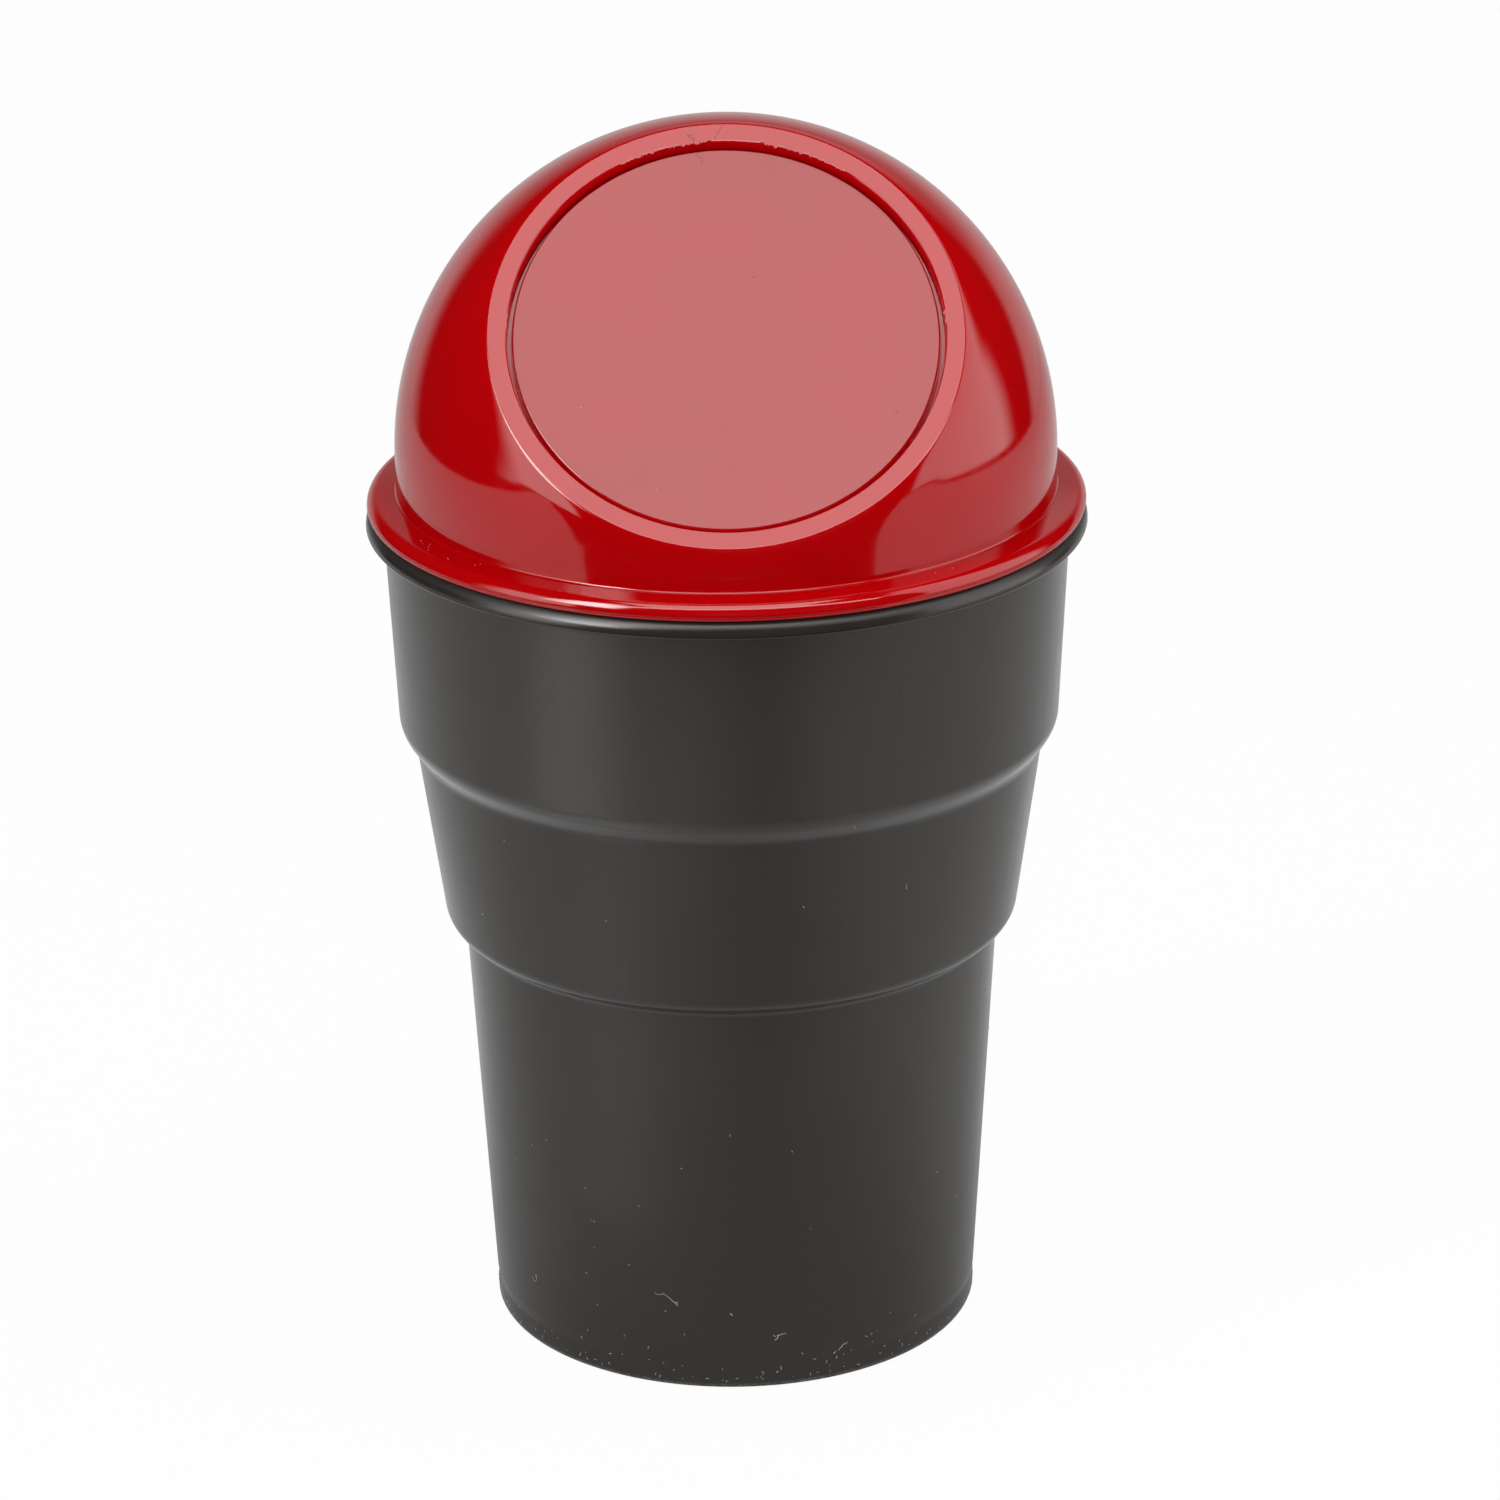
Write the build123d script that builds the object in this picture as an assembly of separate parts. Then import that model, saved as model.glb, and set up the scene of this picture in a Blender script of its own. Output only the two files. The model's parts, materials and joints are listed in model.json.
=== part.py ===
from build123d import *
from math import acos, asin, atan2, copysign, cos, degrees, hypot, radians, sin, sqrt, tan
import os

# A small rubbish bin that stands in a car's cup holder: a stepped black cup, a red domed lid that
# plugs into its mouth, and a round push flap in the sloping face of the dome, which a torsion
# spring shuts. Millimetres and degrees. The foot stands on Z = 0 and the flap faces -Y.

# Cup: three tapering tiers, each narrower than the one above, moulded in one piece
cup_height = 108.6          # foot to the flat top of the rim
upper_tier = 29.3           # rim top down to the middle of the upper ledge
middle_tier = 25.35         # that level down to the middle of the lower ledge
mouth_radius = 43.08        # outside of the wall, at the level of the rim top
upper_draft = 2.914
middle_draft = 8.13
lower_draft = 3.362
upper_ledge = 1.83          # how far each sloping ledge steps in
upper_ledge_drop = 1.6      # and how far it falls
upper_shoulder_round = 2.6  # outer edge of the ledge
upper_hollow_round = 2.4    # inner corner of the ledge
lower_ledge = 2.35
lower_ledge_drop = 1.1
lower_shoulder_round = 2.5
lower_hollow_round = 1.5
cup_wall = 1.5
cup_floor = 1.8
floor_round = 2.5           # corner between the floor and the wall inside
rim_reach = 2.05            # rim beyond the wall
rim_height = 2.35
rim_edge_round = 0.25       # lower edge of the rim
foot_bead = 0.18            # faint bead at the foot beyond the wall
foot_bead_height = 2.0
foot_round = 1.2
groove_depth = 0.08         # faint groove above the bead
groove_height = 1.3
groove_round = 1.5
foot_ring = 2.6             # flat ring that the bin stands on
foot_recess = 0.9           # underside of the floor above that ring
crease_round = 0.7          # plain inner corners
fine_round = 0.12           # edges that are only just broken

# Lid: a dome on a short upright band, with a flange on the rim and a spigot inside the mouth
lid_gap = 0.3               # spigot to the inside of the cup
lid_wall = 1.8
dome_rise = 7.25            # centre of the dome above the rim top
flange_inset = 0.18         # flange inside the edge of the rim
flange_height = 2.15
flange_hollow = 0.45        # corner between the band and the flange
lip_step = 0.1              # fine lip, set in along the flange's lower edge
lip_height = 0.5
lip_round = 0.3
spigot_depth = 9.0
spigot_wall = 1.6
spigot_round = 0.5

# Bezel: a flat collar, a little proud of the dome, round the flap's hole
facet_tilt = 45.0           # angle of the sloping face's normal above level
bezel_radius = 29.15
bezel_proud = 0.55
bezel_width = 2.65
bezel_depth = 2.6           # thickness of the plate round the hole
bezel_edge_round = 0.5
bezel_foot_round = 0.6      # hollow that runs from the collar's edge out on to the dome
hole_edge = 0.12            # chamfer of the hole
hole_draft = 2.0

# Flap: a shallow pan with a stop rim behind the bezel and two hinge ears
flap_gap = 0.7              # flap face to the hole's edge
flap_recess = 0.93          # flap face below the bezel
flap_wall = 1.6
flap_edge_round = 0.25
flap_skirt = 3.0            # depth of the pan
flap_skirt_draft = 6.0
stop_gap = 0.25             # stop rim to the back of the bezel
stop_reach = 1.1            # stop rim beyond the hole
stop_top = 20.0             # the stop rim ends this far above the flap's centre
ear_thickness = 3.0
ear_boss_radius = 2.2
ear_root = 11.0             # length of the ear along the back of the flap

# Hinge and return spring
pin_radius = 1.0
pin_running_gap = 0.06      # radial, pin in the flap's ears
pin_grip_gap = 0.02         # radial, pin in the lid's lugs
hinge_below_hole = 1.07     # pin's axis below the top of the hole
hinge_behind_bezel = 4.2    # pin's axis behind the bezel plate
ear_spacing = 16.0          # clear width between the ears
lug_gap = 0.4               # ear to lug, along the pin
lug_thickness = 3.0
lug_boss_radius = 2.4
wire_radius = 0.3
coil_gap = 0.25             # inside of the coil to the pin
coil_pitch = 0.72
coil_turns = 7
flap_leg = 13.5             # straight end of the wire that lies on the flap
leg_gap = 0.15              # wire end to what it bears on

# Worked out from the sizes above
rim_radius = mouth_radius + rim_reach
rim_top_round = rim_height - 1.4 * rim_edge_round
upper_foot_z = cup_height - upper_tier + upper_ledge_drop / 2
middle_top_z = upper_foot_z - upper_ledge_drop
middle_foot_z = cup_height - upper_tier - middle_tier + lower_ledge_drop / 2
lower_top_z = middle_foot_z - lower_ledge_drop
upper_foot_radius = mouth_radius - (cup_height - upper_foot_z) * tan(radians(upper_draft))
middle_top_radius = upper_foot_radius - upper_ledge
middle_foot_radius = middle_top_radius - (middle_top_z - middle_foot_z) * tan(radians(middle_draft))
lower_top_radius = middle_foot_radius - lower_ledge
flange_roll = flange_height - lip_height - 2 * lip_step
dome_radius = mouth_radius - cup_wall - lid_gap
dome_centre_z = cup_height + dome_rise
inner_dome_radius = dome_radius - lid_wall
bezel_w = sqrt(dome_radius**2 - bezel_radius**2) + bezel_proud
bezel_back_w = bezel_w - bezel_depth
hole_radius = bezel_radius - bezel_width
flap_radius = hole_radius - flap_gap
flap_face_w = bezel_w - flap_recess
flap_back_w = flap_face_w - flap_wall
hinge_v = hole_radius - hinge_below_hole
hinge_w = bezel_back_w - hinge_behind_bezel
ear_outer_u = ear_spacing / 2 + ear_thickness
lug_inner_u = ear_outer_u + lug_gap
lug_outer_u = lug_inner_u + lug_thickness

# Facet frame: X across the sloping face, Y up along it, Z out of it, origin at the dome's centre
facet = Plane(
    origin=(0, 0, dome_centre_z),
    x_dir=(1, 0, 0),
    z_dir=(0, -cos(radians(facet_tilt)), sin(radians(facet_tilt))),
)


def upper_wall(z):
    """Outer radius of the top tier at height z."""
    return mouth_radius - (cup_height - z) * tan(radians(upper_draft))


def lower_wall(z):
    """Outer radius of the bottom tier at height z."""
    return lower_top_radius - (lower_top_z - z) * tan(radians(lower_draft))


def turned(outline):
    """Solid turned about Z from a closed outline of radius and height."""
    return revolve(make_face(Plane.XZ * outline), axis=Axis.Z)


def rounded_outline(corners):
    """Closed outline through (radius, height, rounding) corners; it starts and ends on the axis."""
    points = [(radius, height) for radius, height, _ in corners]
    rounds = [rounding for _, _, rounding in corners[1:-1]]
    edges = FilletPolyline(*points, radius=rounds)
    return edges + Line(points[-1], points[0])


def wall_path():
    """Corners of the cup's outer wall from the foot to the mouth, over both sloping ledges."""
    return [
        (lower_wall(0), 0, 0),
        (lower_top_radius, lower_top_z, lower_hollow_round),
        (middle_foot_radius, middle_foot_z, lower_shoulder_round),
        (middle_top_radius, middle_top_z, upper_hollow_round),
        (upper_foot_radius, upper_foot_z, upper_shoulder_round),
        (mouth_radius, cup_height, 0),
    ]


def inset(path, thickness):
    """Inner corners of a wall whose outer corners run upwards, rounded to keep it even."""
    inner = []
    for before, corner, after in zip(path, path[1:], path[2:]):
        here = Vector(corner[0], corner[1])
        along = (here - Vector(before[0], before[1])).normalized()
        onward = (Vector(after[0], after[1]) - here).normalized()
        inward = (along + onward).rotate(Axis.Z, 90) * (thickness / (1 + along.dot(onward)))
        rounding = corner[2] - copysign(thickness, along.cross(onward).Z)
        inner.append((here.X + inward.X, here.Y + inward.Y, max(rounding, fine_round)))
    return inner


def cup_outside():
    """Corners of the cup's outer face, from the middle of its underside to the rim top."""
    bead_radius = lower_wall(0) + foot_bead
    groove_z = foot_bead_height + groove_height
    groove_top_z = groove_z + groove_height
    rim_under_z = cup_height - rim_height
    ring_radius = bead_radius - foot_round - foot_ring
    return [
        (0, foot_recess, 0),
        (ring_radius - foot_recess, foot_recess, crease_round),
        (ring_radius, 0, fine_round),
        (bead_radius, 0, foot_round),
        (bead_radius, foot_bead_height, groove_round),
        (lower_wall(groove_z) - groove_depth, groove_z, groove_round),
        (lower_wall(groove_top_z), groove_top_z, groove_round),
        *wall_path()[1:-1],
        (upper_wall(rim_under_z), rim_under_z, crease_round),
        (rim_radius, rim_under_z, rim_edge_round),
        (rim_radius, cup_height, rim_top_round),
    ]


def cup_inside():
    """Corners of the cup's inner face, from the mouth down to the middle of the floor."""
    floor_z = foot_recess + cup_floor
    return [
        (mouth_radius - cup_wall, cup_height, fine_round),
        *reversed(inset(wall_path(), cup_wall)),
        (lower_wall(floor_z) - cup_wall, floor_z, floor_round),
        (0, floor_z, 0),
    ]


def make_cup():
    return turned(rounded_outline(cup_outside() + cup_inside()))


def spigot_outside(depth):
    """Outer radius of the spigot this far below the rim top, parallel to the cup's inner face."""
    return upper_wall(cup_height - depth) - cup_wall - lid_gap


def lid_base():
    """Solid band, flange and spigot under the dome, before they are hollowed."""
    crest_z = cup_height + flange_height
    flange_radius = rim_radius - flange_inset
    lip_radius = flange_radius - lip_step
    lip_z = cup_height + lip_height
    return turned(rounded_outline([
        (0, dome_centre_z, 0),
        (dome_radius, dome_centre_z, 0),
        (dome_radius, crest_z, flange_hollow),
        (flange_radius, crest_z, flange_roll),
        (flange_radius, lip_z + lip_step, fine_round),
        (lip_radius, lip_z, fine_round),
        (lip_radius, cup_height, lip_round),
        (spigot_outside(0), cup_height, 0),
        (spigot_outside(spigot_depth), cup_height - spigot_depth, spigot_round),
        (0, cup_height - spigot_depth, 0),
    ]))


def lid_base_hollow():
    """Space inside the band and the spigot, open at the bottom."""
    bottom_radius = spigot_outside(spigot_depth) - spigot_wall
    return turned(rounded_outline([
        (0, dome_centre_z, 0),
        (inner_dome_radius, dome_centre_z, 0),
        (inner_dome_radius, cup_height, crease_round),
        (bottom_radius, cup_height - spigot_depth, 0),
        (0, cup_height - spigot_depth, 0),
    ]))


def ball_below(radius, top_w):
    """Ball about the dome's centre, cut flat at top_w along the facet's normal."""
    ball = Sphere(radius)
    room = Pos(0, 0, top_w - radius) * Box(2 * radius, 2 * radius, 2 * radius)
    return ball & room


def collared_ball():
    """The dome's ball, turned about the facet's normal with the bezel collar rising out of it."""
    edge_centre = Vector(bezel_radius - bezel_edge_round, bezel_w - bezel_edge_round)
    reach = edge_centre.length
    apart = bezel_edge_round + bezel_foot_round
    foot_reach = dome_radius + bezel_foot_round
    lean = degrees(acos((reach**2 + foot_reach**2 - apart**2) / (2 * reach * foot_reach)))
    foot_centre = edge_centre.rotate(Axis.Z, -lean) * (foot_reach / reach)
    foot = foot_centre * (dome_radius / foot_reach)
    join = edge_centre + (foot_centre - edge_centre) * (bezel_edge_round / apart)
    flat = (bezel_radius - bezel_edge_round, bezel_w)
    outline = ThreePointArc((0, -dome_radius), (dome_radius, 0), foot)
    outline += RadiusArc(foot, join, bezel_foot_round)
    outline += RadiusArc(join, flat, -bezel_edge_round)
    outline += Polyline(flat, (0, bezel_w), (0, -dome_radius))
    return turned(outline)


def above_band(ball):
    """The part of a ball, given in the facet frame, that stands on the lid's upright band."""
    room = Pos(0, 0, dome_centre_z + dome_radius) * Box(
        4 * dome_radius, 4 * dome_radius, 2 * dome_radius
    )
    return (facet * ball) & room


def flap_hole():
    """Drafted hole through the bezel plate, narrowest at the back."""
    back_radius = hole_radius - bezel_depth * tan(radians(hole_draft))
    outline = Polyline(
        (0, bezel_w + hole_edge),
        (hole_radius + hole_edge, bezel_w + hole_edge),
        (hole_radius + hole_edge, bezel_w),
        (hole_radius, bezel_w - hole_edge),
        (back_radius, bezel_back_w),
        (back_radius, bezel_back_w - lid_wall),
        (0, bezel_back_w - lid_wall),
        (0, bezel_w + hole_edge),
    )
    return facet * turned(outline)


def across_facet(profile, start_u, thickness):
    """Plate of this thickness across the facet from a profile drawn up along it and out of it."""
    section = Plane(origin=(start_u, 0, 0), x_dir=(0, 1, 0), z_dir=(1, 0, 0))
    return facet * extrude(section * profile, amount=thickness)


def hinge_bore(radius):
    """Round bar along the hinge axis, as long as the lid's two lugs stand apart."""
    bore = Pos(hinge_v, hinge_w) * Circle(radius)
    return across_facet(bore, -lug_outer_u, 2 * lug_outer_u)


def lid_lugs():
    """Two lugs that hang from the inside of the dome and hold the ends of the hinge pin."""
    lean = degrees(atan2(hinge_w, hinge_v))
    reach = dome_radius - hypot(hinge_v, hinge_w)
    profile = Pos(hinge_v, hinge_w) * Circle(lug_boss_radius)
    web = Pos(reach / 2, 0) * Rectangle(reach, 2 * lug_boss_radius)
    profile += Pos(hinge_v, hinge_w) * (Rot(0, 0, lean) * web)
    lugs = across_facet(profile, lug_inner_u, lug_thickness)
    lugs += across_facet(profile, -lug_outer_u, lug_thickness)
    return lugs & (facet * ball_below(dome_radius - lid_wall / 2, bezel_w - bezel_depth / 2))


def make_lid():
    hollow = above_band(ball_below(inner_dome_radius, bezel_back_w)) + lid_base_hollow()
    shell = above_band(collared_ball()) + lid_base()
    return shell - hollow - flap_hole() + lid_lugs() - hinge_bore(pin_radius + pin_grip_gap)


def flap_pan():
    """Pan of the flap with its drafted skirt and the full stop rim."""
    skirt_w = flap_face_w - flap_skirt
    stop_w = bezel_back_w - stop_gap
    flare = tan(radians(flap_skirt_draft))
    stop_radius = hole_radius + stop_reach
    inner_radius = flap_radius - flap_wall
    pan = turned(rounded_outline([
        (0, flap_face_w, 0),
        (flap_radius, flap_face_w, flap_edge_round),
        (flap_radius + flap_skirt * flare, skirt_w, fine_round),
        (inner_radius + flap_skirt * flare, skirt_w, fine_round),
        (inner_radius + flap_wall * flare, flap_back_w, crease_round),
        (0, flap_back_w, 0),
    ]))
    stop = turned(Polyline(
        (flap_radius, stop_w),
        (stop_radius, stop_w),
        (stop_radius, skirt_w),
        (flap_radius, skirt_w),
        (flap_radius, stop_w),
    ))
    lower_side = Pos(0, stop_top - 2 * stop_radius, 0) * Box(
        4 * stop_radius, 4 * stop_radius, 4 * bezel_w
    )
    return facet * (pan + (stop & lower_side))


def flap_ears():
    """Two ears on the back of the flap that turn on the hinge pin."""
    root_top_v = sqrt((flap_radius - flap_wall)**2 - (ear_outer_u)**2)
    boss = Pos(hinge_v, hinge_w) * Circle(ear_boss_radius)
    root = Line((root_top_v - ear_root, flap_back_w), (root_top_v, flap_back_w))
    profile = make_hull(boss.edges() + [root])
    ears = across_facet(profile, ear_spacing / 2, ear_thickness)
    return ears + across_facet(profile, -ear_outer_u, ear_thickness)


def make_flap():
    return flap_pan() + flap_ears() - hinge_bore(pin_radius + pin_running_gap)


def make_spring():
    """Torsion spring: one end lies on the back of the flap, the other presses up on the dome."""
    coil_radius = pin_radius + coil_gap + wire_radius
    hinge = facet.from_local_coords(Vector(0, hinge_v, hinge_w))
    rise = flap_back_w - leg_gap - wire_radius - hinge_w
    slope = degrees(asin(rise / hypot(coil_radius, flap_leg)) - atan2(coil_radius, flap_leg))
    flap_leg_angle = 270 - facet_tilt - slope
    start_angle = flap_leg_angle - 90
    turns = coil_turns + (start_angle - 90) / 360
    height = turns * coil_pitch
    start = (0, cos(radians(start_angle)), sin(radians(start_angle)))
    coil_frame = Plane(
        origin=(height / 2, hinge.Y, hinge.Z),
        x_dir=start,
        z_dir=(-1, 0, 0),
    )
    coil = coil_frame.location * Helix(coil_pitch, height, coil_radius)
    top = hinge.Z + coil_radius + wire_radius + leg_gap - dome_centre_z
    dome_leg = sqrt(inner_dome_radius**2 - top**2 - (height / 2)**2) - hinge.Y
    flap_end = Line((coil @ 0) - (coil % 0) * flap_leg, coil @ 0)
    dome_end = Line(coil @ 1, (coil @ 1) + (coil % 1) * dome_leg)
    wire = Wire([flap_end.edge(), coil.edge(), dome_end.edge()])
    section = Plane(origin=wire @ 0, z_dir=wire % 0) * Circle(wire_radius)
    return sweep(section, path=wire)


pieces = {
    "bin_cup": make_cup(),
    "dome_lid": make_lid(),
    "swing_flap": make_flap(),
    "hinge_pin": hinge_bore(pin_radius),
    "return_spring": make_spring(),
}

os.makedirs("parts", exist_ok=True)
for name, shape in pieces.items():
    export_step(shape, f"parts/{name}.step")
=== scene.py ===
import bmesh
import bpy
import json
from math import acos, asin, atan2, cos, hypot, pi, radians, sin, sqrt, tan
from mathutils import Matrix, Vector
from random import Random


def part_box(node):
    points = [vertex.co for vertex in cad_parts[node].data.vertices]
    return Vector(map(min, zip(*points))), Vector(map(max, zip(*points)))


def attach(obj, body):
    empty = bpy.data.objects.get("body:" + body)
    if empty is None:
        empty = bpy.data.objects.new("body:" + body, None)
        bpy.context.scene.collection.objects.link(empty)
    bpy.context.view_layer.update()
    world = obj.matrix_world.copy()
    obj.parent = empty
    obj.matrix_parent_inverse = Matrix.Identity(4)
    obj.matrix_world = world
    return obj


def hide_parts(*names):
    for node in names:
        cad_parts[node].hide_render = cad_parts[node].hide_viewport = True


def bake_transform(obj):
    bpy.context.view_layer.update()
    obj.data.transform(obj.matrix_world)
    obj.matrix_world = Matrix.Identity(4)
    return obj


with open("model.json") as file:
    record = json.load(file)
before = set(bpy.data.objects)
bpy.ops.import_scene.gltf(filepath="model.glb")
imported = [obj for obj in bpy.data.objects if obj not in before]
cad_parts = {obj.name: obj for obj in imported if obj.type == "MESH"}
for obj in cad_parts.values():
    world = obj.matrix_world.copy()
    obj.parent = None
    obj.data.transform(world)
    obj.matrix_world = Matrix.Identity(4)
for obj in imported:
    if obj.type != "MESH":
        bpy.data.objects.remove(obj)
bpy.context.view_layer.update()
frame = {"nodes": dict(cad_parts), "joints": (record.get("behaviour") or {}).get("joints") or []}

# Cup. The black body of the bin, one injection moulding in polypropylene with a satin skin.
# Its three tiers step in towards the foot over soft ledges that are rubbed smooth, so that the
# lowest drops into a car's cup holder. Dust and lint have gathered on the faint bead at the foot.
mm = 0.001
cup_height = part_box("bin_cup")[1].z
rim_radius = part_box("bin_cup")[1].x
rim_reach = 2.05 * mm
rim_height = 2.35 * mm
rim_edge = 0.45 * mm
rim_top_round = rim_height - 1.1 * rim_edge
mouth_radius = rim_radius - rim_reach
cup_wall = 1.5 * mm
upper_slope = tan(radians(2.914))
middle_slope = tan(radians(8.13))
lower_slope = tan(radians(3.362))
upper_ledge, upper_drop = 1.927 * mm, 2.6 * mm
upper_fillet, upper_round = 2.6 * mm, 3.4 * mm
upper_ledge_down = 29.3 * mm
lower_ledge, lower_drop = 2.35 * mm, 1.1 * mm
lower_fillet, lower_round = 1.5 * mm, 2.5 * mm
lower_ledge_down = 54.65 * mm
upper_foot_z = cup_height - upper_ledge_down + upper_drop / 2
middle_top_z = upper_foot_z - upper_drop
middle_foot_z = cup_height - lower_ledge_down + lower_drop / 2
lower_top_z = middle_foot_z - lower_drop
rim_under_z = cup_height - rim_height
foot_recess = 0.9 * mm
floor_wall = 1.8 * mm
floor_round = 2.5 * mm
floor_z = foot_recess + floor_wall
foot_ring = 2.6 * mm
foot_round = 1.2 * mm
bead_reach = 0.18 * mm
bead_top_z = 2.0 * mm
groove_run = 1.3 * mm
groove_depth = 0.08 * mm
groove_z = bead_top_z + groove_run
groove_top_z = groove_z + groove_run
groove_round = 1.5 * mm
crease = 0.7 * mm
fine_edge = 0.12 * mm
cup_columns = 256


def upper_wall(z):
    """Outer radius of the upper tier at height z."""
    return mouth_radius - (cup_height - z) * upper_slope


upper_foot_radius = upper_wall(upper_foot_z)
middle_top_radius = upper_foot_radius - upper_ledge
middle_foot_radius = middle_top_radius - (middle_top_z - middle_foot_z) * middle_slope
lower_top_radius = middle_foot_radius - lower_ledge


def lower_wall(z):
    """Outer radius of the lower tier at height z."""
    return lower_top_radius - (lower_top_z - z) * lower_slope


bead_radius = lower_wall(0) + bead_reach
ring_radius = bead_radius - foot_round - foot_ring
wall_path = [
    (lower_wall(0), 0, 0),
    (lower_top_radius, lower_top_z, lower_fillet),
    (middle_foot_radius, middle_foot_z, lower_round),
    (middle_top_radius, middle_top_z, upper_fillet),
    (upper_foot_radius, upper_foot_z, upper_round),
    (mouth_radius, cup_height, 0),
]


def inset(path, thickness):
    """Inner corners of a wall whose outer corners run upwards, rounded to keep it even."""
    inner = []
    for before, corner, after in zip(path, path[1:], path[2:]):
        here = Vector(corner[:2])
        along = (here - Vector(before[:2])).normalized()
        onward = (Vector(after[:2]) - here).normalized()
        both = along + onward
        inward = Vector((-both.y, both.x)) * (thickness / (1 + along.dot(onward)))
        turn = 1 if along.cross(onward) > 0 else -1
        inner.append((here.x + inward.x, here.y + inward.y, corner[2] - turn * thickness))
    return inner


outer_corners = [
    (0, foot_recess, 0),
    (ring_radius - foot_recess, foot_recess, crease),
    (ring_radius, 0, fine_edge),
    (bead_radius, 0, foot_round),
    (bead_radius, bead_top_z, groove_round),
    (lower_wall(groove_z) - groove_depth, groove_z, groove_round),
    (lower_wall(groove_top_z), groove_top_z, groove_round),
    *wall_path[1:-1],
    (upper_wall(rim_under_z), rim_under_z, crease),
    (rim_radius, rim_under_z, rim_edge),
    (rim_radius, cup_height, rim_top_round),
]
inner_corners = [
    (mouth_radius - cup_wall, cup_height, fine_edge),
    *reversed(inset(wall_path, cup_wall)),
    (lower_wall(floor_z) - cup_wall, floor_z, floor_round),
    (0, floor_z, 0),
]


def rounded_section(corners, steps=7):
    """Points through (radius, height, rounding) corners, with an arc at each rounding and a point
    close to each end of the arc, which keeps the shading of the straight runs true."""
    beyond = 1.06
    points = [Vector(corners[0][:2])]
    for before, corner, after in zip(corners, corners[1:], corners[2:]):
        here = Vector(corner[:2])
        to_before = (Vector(before[:2]) - here).normalized()
        to_after = (Vector(after[:2]) - here).normalized()
        half = to_before.angle(to_after) / 2
        setback = corner[2] / tan(half)
        centre = here + (to_before + to_after).normalized() * (corner[2] / sin(half))
        start = here + to_before * setback - centre
        turn = start.angle_signed(here + to_after * setback - centre)
        points.append(here + to_before * setback * beyond)
        for i in range(steps + 1):
            points.append(centre + Matrix.Rotation(-turn * i / steps, 2) @ start)
        points.append(here + to_after * setback * beyond)
    points.append(Vector(corners[-1][:2]))
    return points


def turned_rows(section, columns, place):
    """Rows of points round an axis, one for each point of the section; place sets a point."""
    rows, on_axis = [], 1e-9
    for radius, height in section:
        if radius < on_axis:
            rows.append([place(0, 0, height)])
            continue
        angles = [2 * pi * i / columns for i in range(columns)]
        rows.append([place(radius * cos(a), radius * sin(a), height) for a in angles])
    return rows


def skin(rows, loop=False):
    """Points and faces of a closed skin over rows of points; a row of one point is a pole."""
    points, starts, faces = [], [], []
    for row in rows:
        starts.append(len(points))
        points.extend(row)
    pairs = list(zip(range(len(rows)), range(1, len(rows))))
    if loop:
        pairs.append((len(rows) - 1, 0))
    for a, b in pairs:
        count = max(len(rows[a]), len(rows[b]))
        for i in range(count):
            j = (i + 1) % count
            if len(rows[a]) == 1:
                faces.append((starts[a], starts[b] + j, starts[b] + i))
            elif len(rows[b]) == 1:
                faces.append((starts[a] + i, starts[a] + j, starts[b]))
            else:
                faces.append((starts[a] + i, starts[a] + j, starts[b] + j, starts[b] + i))
    return points, faces


def make_piece(name, shells, material):
    """One object from closed shells, smooth apart from its sharp edges, with faces outwards."""
    sharp = radians(40)
    points, faces = [], []
    for shell_points, shell_faces in shells:
        first = len(points)
        points.extend(shell_points)
        faces.extend(tuple(first + i for i in face) for face in shell_faces)
    mesh = bpy.data.meshes.new(name)
    mesh.from_pydata([tuple(p) for p in points], [], faces)
    work = bmesh.new()
    work.from_mesh(mesh)
    bmesh.ops.recalc_face_normals(work, faces=work.faces)
    work.to_mesh(mesh)
    work.free()
    mesh.shade_smooth()
    mesh.set_sharp_from_angle(angle=sharp)
    mesh.materials.append(material)
    piece = bpy.data.objects.new(name, mesh)
    bpy.context.scene.collection.objects.link(piece)
    return piece


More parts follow.
